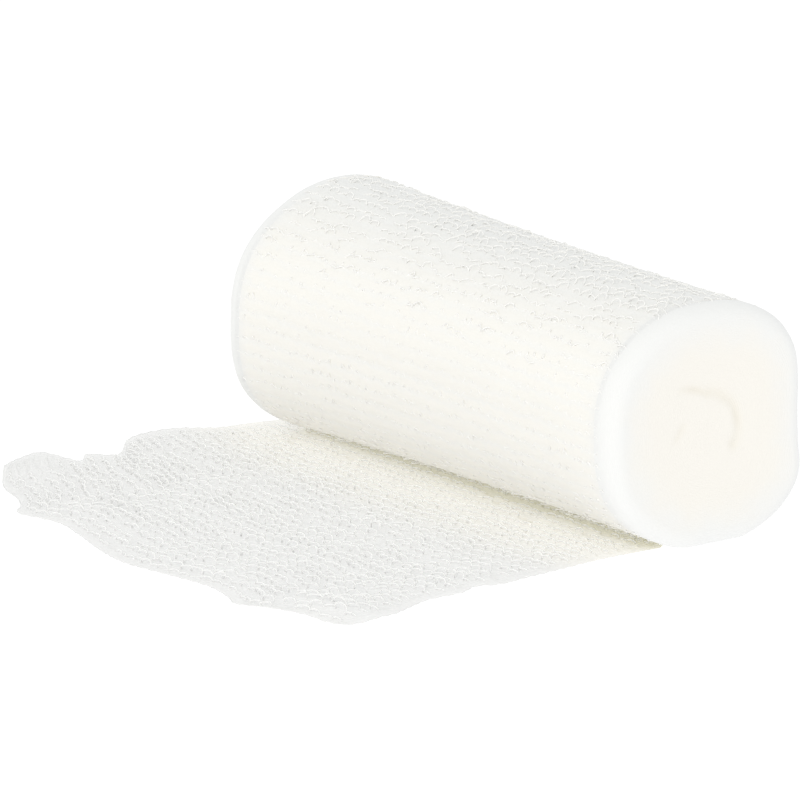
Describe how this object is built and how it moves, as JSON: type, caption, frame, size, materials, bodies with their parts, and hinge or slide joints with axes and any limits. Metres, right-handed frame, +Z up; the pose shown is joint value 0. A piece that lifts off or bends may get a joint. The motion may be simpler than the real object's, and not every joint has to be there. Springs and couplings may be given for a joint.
{
  "type": "gauze bandage roll",
  "caption": "Knitted gauze bandage wound into a soft roll that rests on its own loose end, which lies unrolled in front with a rippled edge",
  "frame": {"origin": "centre of the bounding box, at the level of the surface that the bandage lies on", "axes": "+X along the roll's axis towards its open end face, -Y the way the loose end runs out, +Z up"},
  "size_m": [0.1106, 0.097, 0.0417],
  "materials": {
    "wound_gauze": "soft knitted cotton and viscose gauze, matt, cream in its depth",
    "loose_gauze": "single layer of semi-sheer knitted gauze, matt white"
  },
  "bodies": {
    "root": {"wound_roll": "wound_gauze", "loose_end": "loose_gauze"}
  },
  "joints": []
}
